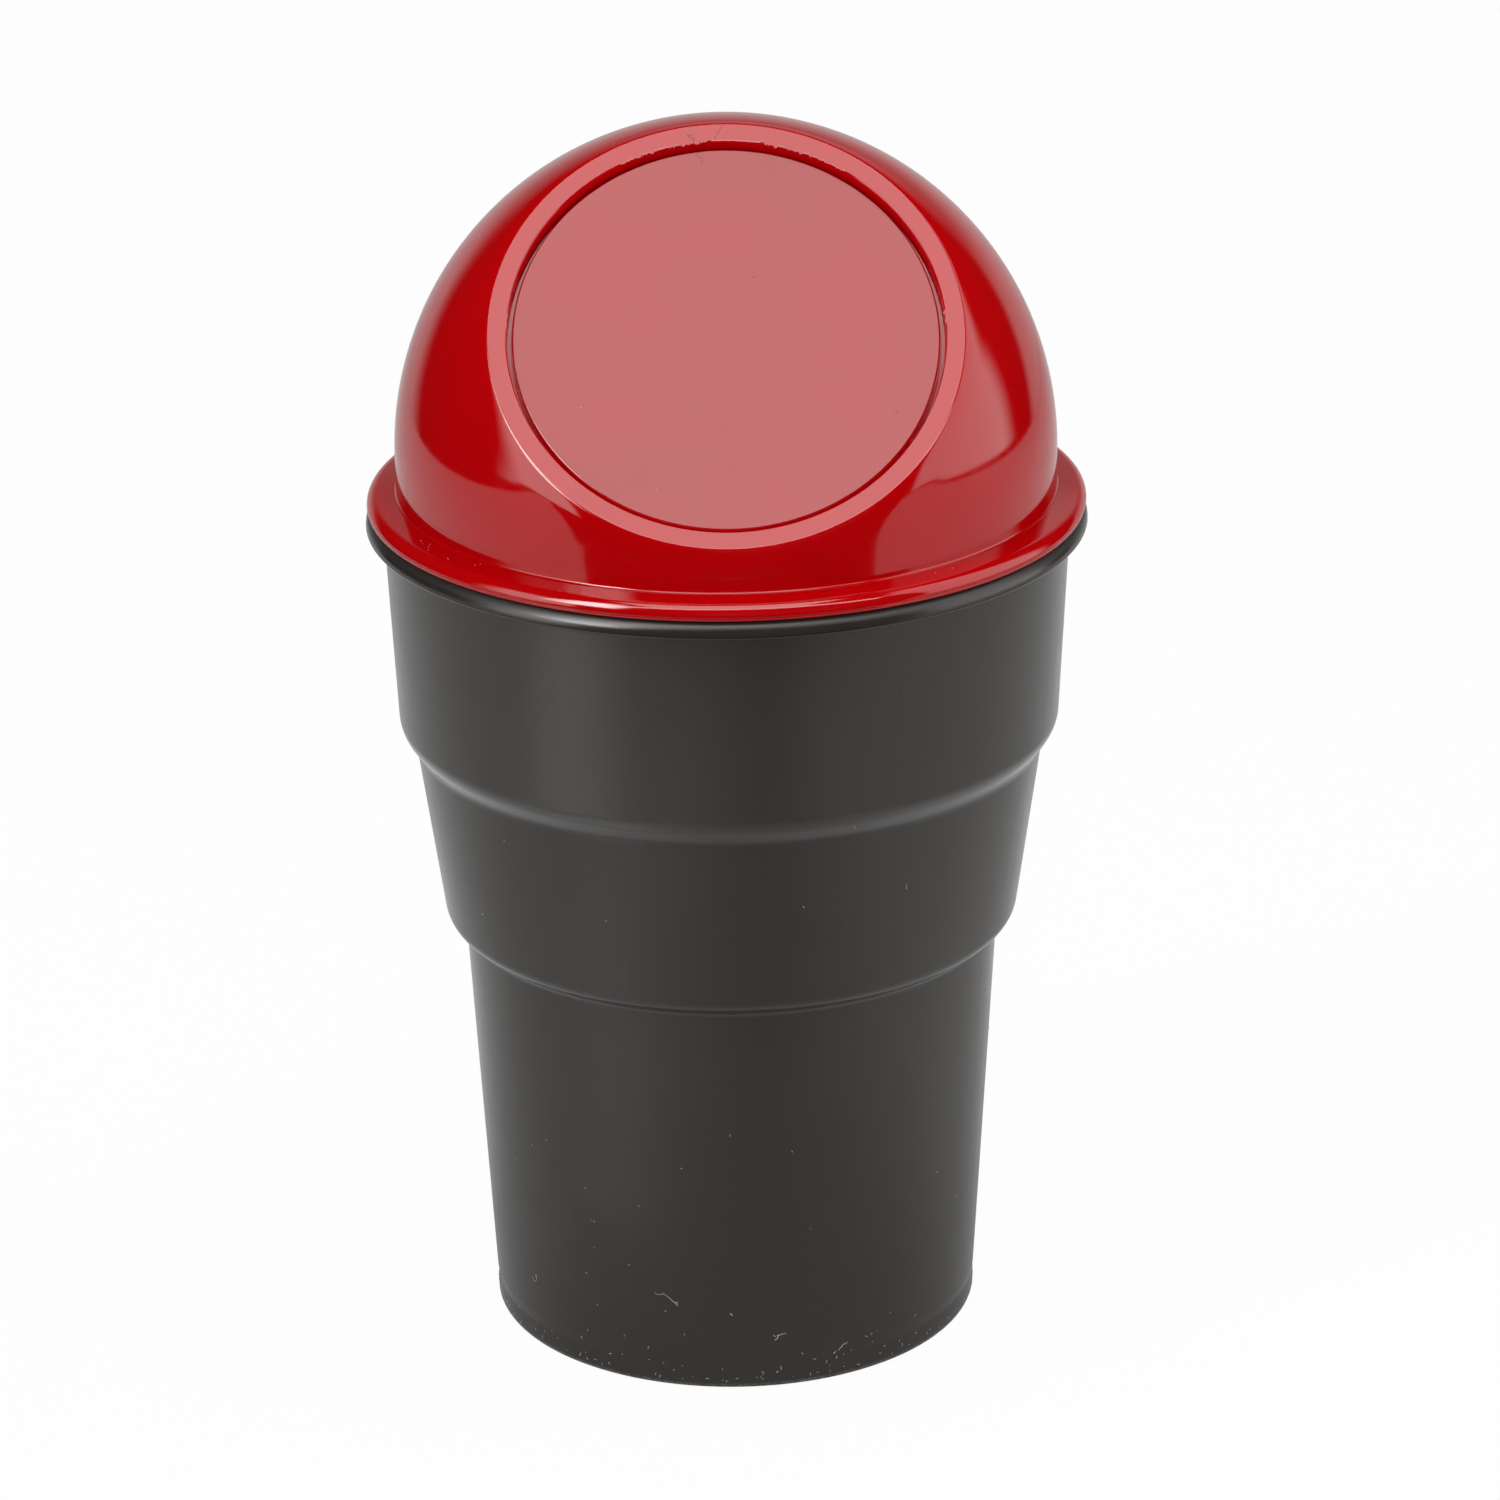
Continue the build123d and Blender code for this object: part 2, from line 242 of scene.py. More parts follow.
class Field:
    """An output of a node in a tree. Arithmetic on fields adds the Math nodes that work it out."""

    def __init__(self, tree, socket=None):
        self.tree = tree
        self.socket = socket

    def node(self, kind, settings=None, sockets=None, output=0):
        """A node of this type: its settings are set first, then its sockets' values or links."""
        made = self.tree.nodes.new(kind)
        for key, value in (settings or {}).items():
            setattr(made, key, value)
        for key, value in (sockets or {}).items():
            if isinstance(value, Field):
                self.tree.links.new(value.socket, made.inputs[key])
            else:
                made.inputs[key].default_value = value
        return Field(self.tree, made.outputs[output] if made.outputs else None)

    def math(self, operation, a, b=0.0):
        return self.node("ShaderNodeMath", {"operation": operation}, {0: a, 1: b})

    def vector(self, operation, a, b):
        return self.node("ShaderNodeVectorMath", {"operation": operation}, {0: a, 1: b})

    def dot(self, a, b):
        """The share of vector a that runs along b, as a number."""
        settings = {"operation": "DOT_PRODUCT"}
        return self.node("ShaderNodeVectorMath", settings, {0: a, 1: b}, "Value")

    def scaled(self, vector, factor):
        """A vector made longer by a number."""
        sockets = {"Vector": vector, "Scale": factor}
        return self.node("ShaderNodeVectorMath", {"operation": "SCALE"}, sockets)

    def noise(self, place, scale, detail):
        """Soft noise through space, about one half on average."""
        sockets = {"Vector": place, "Scale": scale, "Detail": detail}
        return self.node("ShaderNodeTexNoise", {}, sockets)

    def __add__(self, other):
        return self.math("ADD", self, other)

    def __sub__(self, other):
        return self.math("SUBTRACT", self, other)

    def __mul__(self, other):
        return self.math("MULTIPLY", self, other)

    def __truediv__(self, other):
        return self.math("DIVIDE", self, other)

    def __radd__(self, other):
        return self.math("ADD", other, self)

    def __rsub__(self, other):
        return self.math("SUBTRACT", other, self)

    def __rmul__(self, other):
        return self.math("MULTIPLY", other, self)

    def __rtruediv__(self, other):
        return self.math("DIVIDE", other, self)

    def __lt__(self, other):
        return self.math("LESS_THAN", self, other)

    def __gt__(self, other):
        return self.math("GREATER_THAN", self, other)

    def ramp(self, low, high, start=0.0, end=1.0):
        """This field taken smoothly from start at low to end at high."""
        return self.node(
            "ShaderNodeMapRange",
            {"interpolation_type": "SMOOTHSTEP"},
            {"Value": self, "From Min": low, "From Max": high, "To Min": start, "To Max": end},
        )

    def mix(self, colour_a, colour_b):
        """Colour a where this field is 0 and colour b where it is 1."""
        return self.node(
            "ShaderNodeMix", {"data_type": "RGBA"}, {0: self, 6: colour_a, 7: colour_b}, 2
        )


def new_finish(name):
    """An empty material and the field that its nodes grow from."""
    material = bpy.data.materials.new(name)
    material.use_nodes = True
    material.node_tree.nodes.clear()
    return material, Field(material.node_tree)


def coated(look, base, bump, **sockets):
    """Closes a finish with its Principled shader, whose normal comes from the bump."""
    sockets = {key.replace("_", " "): value for key, value in sockets.items()}
    surface = look.node(
        "ShaderNodeBsdfPrincipled", {}, {"Base Color": base, "Normal": bump, **sockets}
    )
    look.node("ShaderNodeOutputMaterial", {}, {"Surface": surface})


def black_satin():
    """Satin black, with pale grime caught at the very foot, a duller top to the rim, and a clear
    gloss where the ledges are rubbed."""
    deep_black, soft_black = (0.0165, 0.0140, 0.0118, 1), (0.0190, 0.0162, 0.0138, 1)
    grime_brown = (0.22, 0.16, 0.11, 1)
    grime_full, grime_end = 0.2 * mm, 1.1 * mm
    grain_depth = 0.02 * mm
    rim_dull, rim_dull_start, rim_dull_full = 0.18, 1.3 * mm, 0.7 * mm
    ledge_gloss, lower_share = 0.58, 0.8
    upper_lead, lower_lead, ledge_fade = 1.0 * mm, 0.8 * mm, 1.3 * mm
    material, look = new_finish("black_satin")
    place = look.node("ShaderNodeTexCoord", output="Object")
    height = look.node("ShaderNodeSeparateXYZ", {}, {"Vector": place}, "Z")

    def along_ledge(bottom, full, top):
        return height.ramp(bottom, full) * height.ramp(top, top + ledge_fade, 1.0, 0.0)

    cloud = look.noise(place, 90.0, 3.0)
    grain = look.noise(place, 4200.0, 2.0)
    grime = look.noise(place, 1300.0, 2.0)
    worn = height.ramp(grime_full, grime_end, 0.5, 0.0) * grime.ramp(0.40, 0.62)
    base = worn.mix(cloud.mix(deep_black, soft_black), grime_brown)
    bump = look.node(
        "ShaderNodeBump", {}, {"Strength": 0.3, "Distance": grain_depth, "Height": grain}
    )
    rim_rough = height.ramp(cup_height - rim_dull_start, cup_height - rim_dull_full, 0.0, rim_dull)
    skin_rough = cloud.ramp(0.3, 0.7, 0.19, 0.23) + rim_rough
    on_upper = along_ledge(middle_top_z, middle_top_z + upper_lead, upper_foot_z)
    on_lower = along_ledge(lower_top_z - lower_lead, lower_top_z, middle_foot_z)
    rubbed = (on_upper + on_lower * lower_share) * ledge_gloss
    coated(look, base, bump, Roughness=skin_rough, IOR=1.49, Coat_Weight=rubbed, Coat_Roughness=0.2)
    return material


cup_section = rounded_section(outer_corners + inner_corners)
cup = make_piece(
    "cup",
    [skin(turned_rows(cup_section, cup_columns, lambda x, y, z: Vector((x, y, z))))],
    black_satin(),
)
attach(cup, "bin")
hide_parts("bin_cup")


def cup_radius(z):
    """Outer radius of the cup at height z, above the round of the foot."""
    outer = cup_section[:len(cup_section) // 2]
    for low, high in zip(outer, outer[1:]):
        if low.y <= z < high.y and low.x > ring_radius:
            return low.x + (high.x - low.x) * (z - low.y) / (high.y - low.y)
    return bead_radius


def lint_tree(material):
    """Geometry nodes that lay a thin curled hair on each point of a mesh. The points carry the way
    each hair runs, the way its surface faces, and its length."""
    tree = bpy.data.node_groups.new("lint", "GeometryNodeTree")
    tree.interface.new_socket("Geometry", in_out="OUTPUT", socket_type="NodeSocketGeometry")
    tree.interface.new_socket("Geometry", in_out="INPUT", socket_type="NodeSocketGeometry")
    for name in ("Hair Radius", "Curl", "Curl Scale"):
        tree.interface.new_socket(name, in_out="INPUT", socket_type="NodeSocketFloat")
    build = Field(tree)
    group = tree.nodes.new("NodeGroupInput")
    seeds, radius, curl, scale = [Field(tree, group.outputs[i]) for i in range(4)]

    def carried(name, data_type):
        return build.node("GeometryNodeInputNamedAttribute", {"data_type": data_type}, {"Name": name})

    heading, facing = carried("heading", "FLOAT_VECTOR"), carried("facing", "FLOAT_VECTOR")
    length = carried("length", "FLOAT")
    turn = build.node("FunctionNodeAlignRotationToVector", {"axis": "X"}, {"Vector": heading})
    size = build.node("ShaderNodeCombineXYZ", {}, {"X": length, "Y": length, "Z": length})
    line = build.node(
        "GeometryNodeCurvePrimitiveLine", {}, {"Start": (-0.5, 0, 0), "End": (0.5, 0, 0)}
    )
    line = build.node("GeometryNodeResampleCurve", {}, {"Curve": line, "Count": 14})
    spots = build.node("GeometryNodeMeshToPoints", {}, {"Mesh": seeds})
    hairs = build.node(
        "GeometryNodeInstanceOnPoints", {},
        {"Points": spots, "Instance": line, "Rotation": turn, "Scale": size},
    )
    hairs = build.node("GeometryNodeRealizeInstances", {}, {"Geometry": hairs})
    drift = build.node("ShaderNodeTexNoise", {}, {"Scale": scale, "Detail": 1.0}, "Color")
    drift = build.vector("SUBTRACT", drift, (0.5, 0.5, 0.5))
    drift = build.scaled(drift, curl * length)
    lifted = build.scaled(facing, radius - build.dot(drift, facing))
    offset = build.vector("ADD", drift, lifted)
    hairs = build.node("GeometryNodeSetPosition", {}, {"Geometry": hairs, "Offset": offset})
    ring = build.node("GeometryNodeCurvePrimitiveCircle", {}, {"Resolution": 6, "Radius": radius})
    tubes = build.node(
        "GeometryNodeCurveToMesh", {}, {"Curve": hairs, "Profile Curve": ring, "Fill Caps": True}
    )
    tubes = build.node("GeometryNodeRealizeInstances", {}, {"Geometry": tubes})
    tubes = build.node("GeometryNodeSetMaterial", {}, {"Geometry": tubes, "Material": material})
    build.node("NodeGroupOutput", {}, {"Geometry": tubes})
    return tree


def grown(name, tree, sizes, seeds=None):
    """Plain mesh object that a geometry tree makes with these named sizes, from a mesh of seeds."""
    made = bpy.data.objects.new(name, seeds or bpy.data.meshes.new(name))
    bpy.context.scene.collection.objects.link(made)
    modifier = made.modifiers.new(name, "NODES")
    modifier.node_group = tree
    for item in tree.interface.items_tree:
        if item.in_out == "INPUT" and item.name in sizes:
            modifier[item.identifier] = float(sizes[item.name])
    finished = made.evaluated_get(bpy.context.evaluated_depsgraph_get())
    mesh = bpy.data.meshes.new_from_object(finished)
    made.modifiers.clear()
    made.data = mesh
    return made


def seed_mesh(name, spots):
    """Points for the lint, from (place, facing, heading, length)."""
    mesh = bpy.data.meshes.new(name)
    mesh.from_pydata([tuple(spot[0]) for spot in spots], [], [])
    for way, part in (("facing", 1), ("heading", 2)):
        values = [number for spot in spots for number in spot[part]]
        mesh.attributes.new(way, "FLOAT_VECTOR", "POINT").data.foreach_set("vector", values)
    lengths = [spot[3] for spot in spots]
    mesh.attributes.new("length", "FLOAT", "POINT").data.foreach_set("value", lengths)
    return mesh


def plain_finish(name, colour, roughness):
    """Dull fibre of one colour, darker in places."""
    dark_share = 0.6
    material, look = new_finish(name)
    place = look.node("ShaderNodeTexCoord", output="Object")
    fleck = look.noise(place, 700.0, 1.0)
    base = fleck.ramp(0.35, 0.65).mix(tuple(c * dark_share for c in colour) + (1,), colour + (1,))
    surface = look.node(
        "ShaderNodeBsdfPrincipled", {}, {"Base Color": base, "Roughness": roughness}
    )
    look.node("ShaderNodeOutputMaterial", {}, {"Surface": surface})
    return material


def lint_on_cup(azimuth, z, length, lean):
    """A hair on the cup; azimuth 0 is the front and 90 the right, lean 0 lies level."""
    a = radians(azimuth)
    facing = Vector((sin(a), -cos(a), 0))
    level = Vector((cos(a), sin(a), 0))
    heading = level * cos(lean) + Vector((0, 0, 1)) * sin(lean)
    return facing * cup_radius(z) + Vector((0, 0, z)), facing, heading, length


dust = Random(11)
lint = [
    lint_on_cup(-16, 12.6 * mm, 3.0 * mm, -0.2),
    lint_on_cup(9, 7.4 * mm, 1.6 * mm, 0.4),
    lint_on_cup(34, 69.0 * mm, 1.2 * mm, 1.1),
    lint_on_cup(-55, 10.0 * mm, 1.5 * mm, 1.2),
    lint_on_cup(25, 4.6 * mm, 1.4 * mm, 0.7),
]


def stray_lint(z, longest):
    """A speck of lint at this height, anywhere round the cup and up to this many mm long."""
    return lint_on_cup(dust.uniform(0, 360), z, dust.uniform(0.1, longest) * mm, dust.uniform(0, pi))


at_foot, on_lower_tier, higher_up = 230, 60, 24
lint_start, lint_fall = 1.25 * mm, 1.6 * mm
lint += [stray_lint(lint_start + dust.expovariate(1 / lint_fall), 0.42) for i in range(at_foot)]
lint += [stray_lint(dust.uniform(6, 34) * mm, 0.3) for i in range(on_lower_tier)]
lint += [stray_lint(dust.uniform(34, 104) * mm, 0.35) for i in range(higher_up)]

lint_hair = lint_tree(plain_finish("lint_grey", (0.42, 0.40, 0.37), roughness=0.8))
lint_sizes = {"Hair Radius": 0.035 * mm, "Curl": 1.5, "Curl Scale": 900.0}
cup_lint = grown("cup_lint", lint_hair, lint_sizes, seed_mesh("cup_lint", lint))
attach(cup_lint, "bin")

# Lid. A red dome moulded in glossy ABS with its upright band, the rounded flange that sits on the
# cup's rim and the spigot that plugs into the mouth. The flat collar round the flap's hole stands
# a little proud of the dome, with ragged moulding flash along its top, and two lugs hold the pin.
lid_wall = 1.8 * mm
lid_gap = 0.3 * mm
dome_radius = mouth_radius - cup_wall - lid_gap
inner_dome_radius = dome_radius - lid_wall
dome_rise = 7.25 * mm
dome_centre = Vector((0, 0, cup_height + dome_rise))
facet_tilt = radians(45)
facet_up = Vector((0, sin(facet_tilt), cos(facet_tilt)))
facet_out = Vector((0, -cos(facet_tilt), sin(facet_tilt)))
bezel_radius = 29.15 * mm
bezel_proud = 0.535 * mm
bezel_w = sqrt(dome_radius**2 - bezel_radius**2) + bezel_proud
bezel_depth = 2.6 * mm
bezel_back_w = bezel_w - bezel_depth
bezel_edge = 0.5 * mm
bezel_width = 2.65 * mm
hole_radius = bezel_radius - bezel_width
hole_edge = 0.12 * mm
hole_draft = radians(2)
hole_back_radius = hole_radius - bezel_depth * tan(hole_draft)
flange_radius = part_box("dome_lid")[1].x
flange_height = 2.15 * mm
crown_rise, crown_fall = 0.22 * mm, 0.3 * mm
crown_crease = 0.3 * mm
flange_roll = 1.35 * mm
lip_step = 0.1 * mm
lip_height = 0.5 * mm
lip_round = 0.3 * mm
crest_z = cup_height + flange_height
lip_z = cup_height + lip_height
spigot_depth = 9.0 * mm
spigot_wall = 1.6 * mm
spigot_round = 0.5 * mm
spigot_z = cup_height - spigot_depth
band_lap, inner_lap = 0.15 * mm, 1.0 * mm
dome_steps, inside_steps = 40, 24
shoulder_shares = (0.04, 0.35, 0.65, 0.96, 1)
lid_columns = 384


def facet_point(u, v, w):
    """A point by its place across the sloping face, up along it and out of it."""
    return dome_centre + Vector((u, 0, 0)) + facet_up * v + facet_out * w


def spigot_radius(z):
    """Outer radius of the spigot at height z, clear of the cup's wall."""
    return upper_wall(z) - cup_wall - lid_gap


def arc_points(radius, start, end, steps, centre=(0, 0)):
    """Points of an arc about a centre, by angles from the first axis to the second."""
    turns = [start + (end - start) * i / steps for i in range(steps + 1)]
    return [Vector(centre) + Vector((radius * cos(t), radius * sin(t))) for t in turns]


edge_centre = Vector((bezel_radius - bezel_edge, bezel_w - bezel_edge))
edge_reach = edge_centre.length
shoulder_turn = atan2(edge_centre.y, edge_centre.x) - acos((dome_radius - bezel_edge) / edge_reach)
shoulder_out = Vector((cos(shoulder_turn), sin(shoulder_turn)))
shoulder_start = edge_centre + shoulder_out * bezel_edge
shoulder_end = shoulder_out * dome_radius
shoulder = (shoulder_end - shoulder_start).length
collar_section = [
    Vector((hole_back_radius, bezel_back_w)),
    Vector((hole_radius, bezel_w - hole_edge)),
    Vector((hole_radius + hole_edge, bezel_w)),
    Vector((hole_radius + 2 * hole_edge, bezel_w)),
    Vector((bezel_radius - 1.3 * bezel_edge, bezel_w)),
    *arc_points(bezel_edge, pi / 2, shoulder_turn, steps=7, centre=edge_centre),
]

base_section = rounded_section([
    (dome_radius, dome_centre.z, 0),
    (dome_radius, crest_z + crown_rise, crown_crease),
    (flange_radius, crest_z - crown_fall, flange_roll),
    (flange_radius, lip_z + lip_step, fine_edge),
    (flange_radius - lip_step, lip_z, fine_edge),
    (flange_radius - lip_step, cup_height, lip_round),
    (spigot_radius(cup_height), cup_height, fine_edge),
    (spigot_radius(spigot_z), spigot_z, spigot_round),
    (spigot_radius(spigot_z) - spigot_wall, spigot_z, fine_edge),
    (inner_dome_radius, cup_height, crease),
    (inner_dome_radius, dome_centre.z - inner_lap, 0),
], steps=5)


def sphere_run(start, end, steps):
    """Directions along the great circle from start to end, without start itself."""
    start, end = start.normalized(), end.normalized()
    angle = start.angle(end)
    return [
        (start * sin(angle * (1 - i / steps)) + end * sin(angle * i / steps)) / sin(angle)
        for i in range(1, steps + 1)
    ]


def lid_column(turn):
    """Points of the lid's skin at one place round the hole: over the bezel and its shoulder, down
    the dome to the band, round the flange and the spigot, and back up the inside to the hole."""
    across, along = cos(turn), sin(turn)
    points = [facet_point(r * across, r * along, w) for r, w in collar_section]
    equator_tilt = atan2(sin(facet_tilt), -along * cos(facet_tilt))
    equator = facet_point(
        sin(equator_tilt) * across, sin(equator_tilt) * along, cos(equator_tilt)
    ) - dome_centre
    heading = Vector((equator.x, equator.y)).normalized()
    foot = facet_point(shoulder_end.x * across, shoulder_end.x * along, shoulder_end.y) - dome_centre
    if foot.z > band_lap:
        down = [d * dome_radius for d in sphere_run(foot, equator, dome_steps - 1)]
    else:
        foot = Vector((heading.x * dome_radius, heading.y * dome_radius, foot.z))
        down = [foot - Vector((0, 0, band_lap * i / dome_steps)) for i in range(1, dome_steps)]
    band_top = min(foot.z, 0) - band_lap
    down.append(Vector((heading.x * dome_radius, heading.y * dome_radius, band_top)))
    points += [points[-1].lerp(dome_centre + foot, share) for share in shoulder_shares]
    points += [dome_centre + spot for spot in down]
    points += [Vector((heading.x * r, heading.y * r, z)) for r, z in base_section[1:]]
    back_radius = sqrt(inner_dome_radius**2 - bezel_back_w**2)
    back = facet_point(back_radius * across, back_radius * along, bezel_back_w) - dome_centre
    start = points[-1] - dome_centre
    points += [dome_centre + d * inner_dome_radius for d in sphere_run(start, back, inside_steps)]
    return points


columns = [lid_column(2 * pi * i / lid_columns) for i in range(lid_columns)]
lid_rows = [list(row) for row in zip(*columns)]

flash_runs = ((56, 79, 0.36), (80, 93, 0.06), (94, 118, 0.36), (173, 178, 0.22), (2, 6, 0.22))
flash_shares = (0, 0.1, 0.3, 0.6, 1)
flash_lifts = (-0.02 * mm, 0.008 * mm, -0.16 * mm, -0.16 * mm)
flash_root = hole_radius + 1.4 * hole_edge


def capped_bar(sections):
    """Points and faces of a bar through sections of four corners each, closed at both ends."""
    points = [corner for section in sections for corner in section]
    last = len(points) - 4
    faces = []
    for i in range(0, last, 4):
        for k in range(4):
            a, b = i + k, i + (k + 1) % 4
            faces.append((a, b, b + 4, a + 4))
    return points, faces + [(0, 1, 2, 3), tuple(range(last, last + 4))]


def flash_strip(start, end, rng, reach):
    """Ragged sliver of flash along the hole's edge, between two angles in degrees."""
    steps_per_degree, taper = 5, 3
    steps = int((end - start) * steps_per_degree)
    height, sections = 0.0, []
    for i in range(steps + 1):
        turn = radians(start + (end - start) * i / steps)
        if rng.random() < 0.5:
            height = rng.choice(flash_shares) * rng.uniform(0.5, 1) * reach
        tip = hole_radius - height * (min(i, steps - i, taper) / taper)
        sections.append([
            facet_point(radius * cos(turn), radius * sin(turn), bezel_w + lift)
            for radius, lift in zip((tip, flash_root, flash_root, tip), flash_lifts)
        ])
    return capped_bar(sections)


ragged = Random(5)
flash = [flash_strip(start, end, ragged, reach * mm) for start, end, reach in flash_runs]

hinge = Vector(next(j for j in frame["joints"] if j["name"] == "flap_swing")["pos_m"])
hinge_v = (hinge - dome_centre).dot(facet_up)
hinge_w = (hinge - dome_centre).dot(facet_out)
pin_radius = (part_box("hinge_pin")[1].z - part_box("hinge_pin")[0].z) / 2
lug_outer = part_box("hinge_pin")[1].x
lug_width = 3.0 * mm
lug_inner = lug_outer - lug_width


def eye_plate(outline, eye, inner, outer):
    """Flat plate across the facet with a round eye on the hinge axis; its outline is a list of
    (up, out) points seen from that axis."""
    rows = []
    for u, scale in ((inner, 0), (inner, 1), (outer, 1), (outer, 0)):
        row = []
        for point in outline:
            rim = point if scale else point.normalized() * eye
            row.append(facet_point(u, hinge_v + rim.x, hinge_w + rim.y))
        rows.append(row)
    return skin(rows, loop=True)


lug_boss = 2.4 * mm
lug_fit = 0.02 * mm
lug_sink = 1.0 * mm
lug_lean = atan2(hinge_w, hinge_v)
lug_reach = sqrt((dome_radius - lug_sink)**2 - lug_outer**2) - hypot(hinge_v, hinge_w)
lug_turn = Matrix.Rotation(lug_lean, 2)
lug_outline = arc_points(lug_boss, lug_lean + pi / 2, lug_lean + 3 * pi / 2, steps=24)
lug_outline += [lug_turn @ Vector((lug_reach, -lug_boss)), lug_turn @ Vector((lug_reach, lug_boss))]
lug_shells = [
    eye_plate(lug_outline, pin_radius + lug_fit, side * lug_inner, side * lug_outer)
    for side in (-1, 1)
]

roll_slope = tan(radians(12.5))
roll_run = 0.4 * mm
roll_height = roll_slope * shoulder / 3
bump_depth = 0.02 * mm
# Brighter red for the hole's wall and the flap's skirt: painted light in the gap round the hole.
gap_painted_light_red = (0.60, 0.001, 0.004, 1)
speck_pink = (0.75, 0.45, 0.42, 1)


def red_gloss(name, low, high, roughness, wave_height, face_w):
    """Glossy red with the low waves of a moulding and pale specks of dust. The hole's wall and the
    flap's skirt get a brighter red, painted light in the gap round the hole, and the bump adds
    the last of the soft roll from the collar to the dome."""
    edge_in, edge_out = hole_radius - 1.2 * mm, hole_radius + 0.06 * mm
    edge_top, edge_bottom = face_w - 0.1 * mm, face_w - 3.5 * mm
    shoulder_lean = atan2(shoulder_start.x, shoulder_start.y)
    speck_share, speck_core, speck_edge, speck_strength = 0.03, 0.03, 0.06, 0.35
    peel_height, ripple_height = 0.02, 0.1
    material, look = new_finish(name)
    place = look.node("ShaderNodeTexCoord", output="Object")
    wave = look.noise(place, 60.0, 1.0)
    peel = look.noise(place, 900.0, 2.0)
    flow = look.noise(place, 42.0, 4.0)
    ripple = look.noise(place, 420.0, 1.0)
    cells = {"Vector": place, "Scale": 300.0, "Randomness": 1.0}
    spot = look.node("ShaderNodeTexVoronoi", {}, cells, "Distance")
    lot = look.node("ShaderNodeTexVoronoi", {}, cells, "Color")
    chance = look.node("ShaderNodeSeparateColor", {}, {"Color": lot}, "Red")
    speck = (chance < speck_share) * spot.ramp(speck_core, speck_edge, 1.0, 0.0)
    across = look.node("ShaderNodeSeparateXYZ", {}, {"Vector": place}, "X")
    from_centre = look.vector("SUBTRACT", place, dome_centre)
    up, out = look.dot(from_centre, facet_up), look.dot(from_centre, facet_out)
    reach = look.math("SQRT", across * across + up * up)
    # The gap round the hole, where the red is painted brighter as painted light.
    edge = (reach > edge_in) * (reach < edge_out) * (out < edge_top) * (out > edge_bottom)
    body = flow.ramp(0.35, 0.65).mix(low, high)
    base = (speck * speck_strength).mix(edge.mix(body, gap_painted_light_red), speck_pink)
    past_edge = (look.math("ARCTAN2", reach, out) - shoulder_lean) * dome_radius
    rest = 1 - look.node("ShaderNodeClamp", {}, {"Value": past_edge / shoulder})
    onto = look.node("ShaderNodeClamp", {}, {"Value": 1 + past_edge / roll_run})
    roll = (1 - rest * rest * rest) * roll_height + onto * onto * (roll_slope * roll_run / 2)
    shape = wave * wave_height + peel * peel_height + ripple * ripple_height + roll / bump_depth
    bump = look.node(
        "ShaderNodeBump", {}, {"Strength": 1.0, "Distance": bump_depth, "Height": shape}
    )
    smooth = peel.ramp(0.3, 0.7, roughness, roughness + 0.03) + flow.ramp(0.4, 0.7) * 0.02
    coated(look, base, bump, Roughness=smooth, IOR=1.5)
    return material


lid_deep, lid_bright = (0.338, 0.0002, 0.0012, 1), (0.354, 0.0002, 0.0014, 1)
lid_red = red_gloss(
    "red_gloss", lid_deep, lid_bright, roughness=0.05, wave_height=5.0, face_w=bezel_w
)
lid = make_piece("lid", [skin(lid_rows, loop=True)] + flash + lug_shells, lid_red)
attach(lid, "lid")
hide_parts("dome_lid")


def lint_on_facet(u, v, w, length, lean):
    """A hair on the sloping face; lean 0 lies level."""
    heading = Vector((cos(lean), 0, 0)) + facet_up * sin(lean)
    return facet_point(u, v, w), facet_out, heading, length


dark_hair = lint_tree(plain_finish("hair_dark", (0.21, 0.085, 0.075), roughness=0.7))
lid_hairs = [
    lint_on_facet(-0.4 * mm, 27.6 * mm, bezel_w, 2.0 * mm, 1.17),
    lint_on_facet(-3.9 * mm, 27.0 * mm, bezel_w, 1.2 * mm, 2.3),
    lint_on_facet(-4.1 * mm, 27.1 * mm, bezel_w, 1.0 * mm, 0.9),
    lint_on_facet(-3.6 * mm, 26.9 * mm, bezel_w, 0.8 * mm, 0.2),
]
hair_sizes = {"Hair Radius": 0.022 * mm, "Curl": 0.9, "Curl Scale": 700.0}
lid_hair = grown("lid_hair", dark_hair, hair_sizes, seed_mesh("lid_hair", lid_hairs))
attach(lid_hair, "lid")

settled = Random(23)
lid_specks, speck_sink = 16, 0.02 * mm
lid_dust = []
for i in range(lid_specks):
    turn = radians(settled.choice((-56, -56, settled.uniform(-180, 180))) + settled.gauss(0, 12))
    ledge = settled.uniform(42.3, 43.7) * mm
    fall = (ledge - dome_radius) / (flange_radius - dome_radius) * (crown_rise + crown_fall)
    seat_z = crest_z + crown_rise - speck_sink - fall
    spot = Vector((ledge * sin(turn), -ledge * cos(turn), seat_z))
    heading = Vector((cos(settled.uniform(0, pi)), sin(settled.uniform(0, pi)), 0)).normalized()
    lid_dust.append((spot, Vector((0, 0, 1)), heading, settled.uniform(0.05, 0.09) * mm))
lid_lint = grown("lid_lint", lint_hair, lint_sizes, seed_mesh("lid_lint", lid_dust))
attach(lid_lint, "lid")

# Flap. A round shallow pan, moulded in the same red plastic, that sits just inside the bezel.
# A rim round its skirt, up to the hinge, stops it behind the bezel, and two ears on its back
# turn on the hinge pin.
flap_gap = 0.7 * mm
flap_radius = hole_radius - flap_gap
flap_recess = 0.93 * mm
flap_face_w = bezel_w - flap_recess
flap_edge = 0.25 * mm
flap_columns = 256
flap_wall = 1.6 * mm
flap_back_w = flap_face_w - flap_wall
flap_depth = 3.0 * mm
skirt_w = flap_face_w - flap_depth
skirt_flare = tan(radians(6))
stop_gap = 0.25 * mm
stop_w = bezel_back_w - stop_gap
stop_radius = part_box("swing_flap")[1].x
stop_top = 20.0 * mm
stop_steps = 160

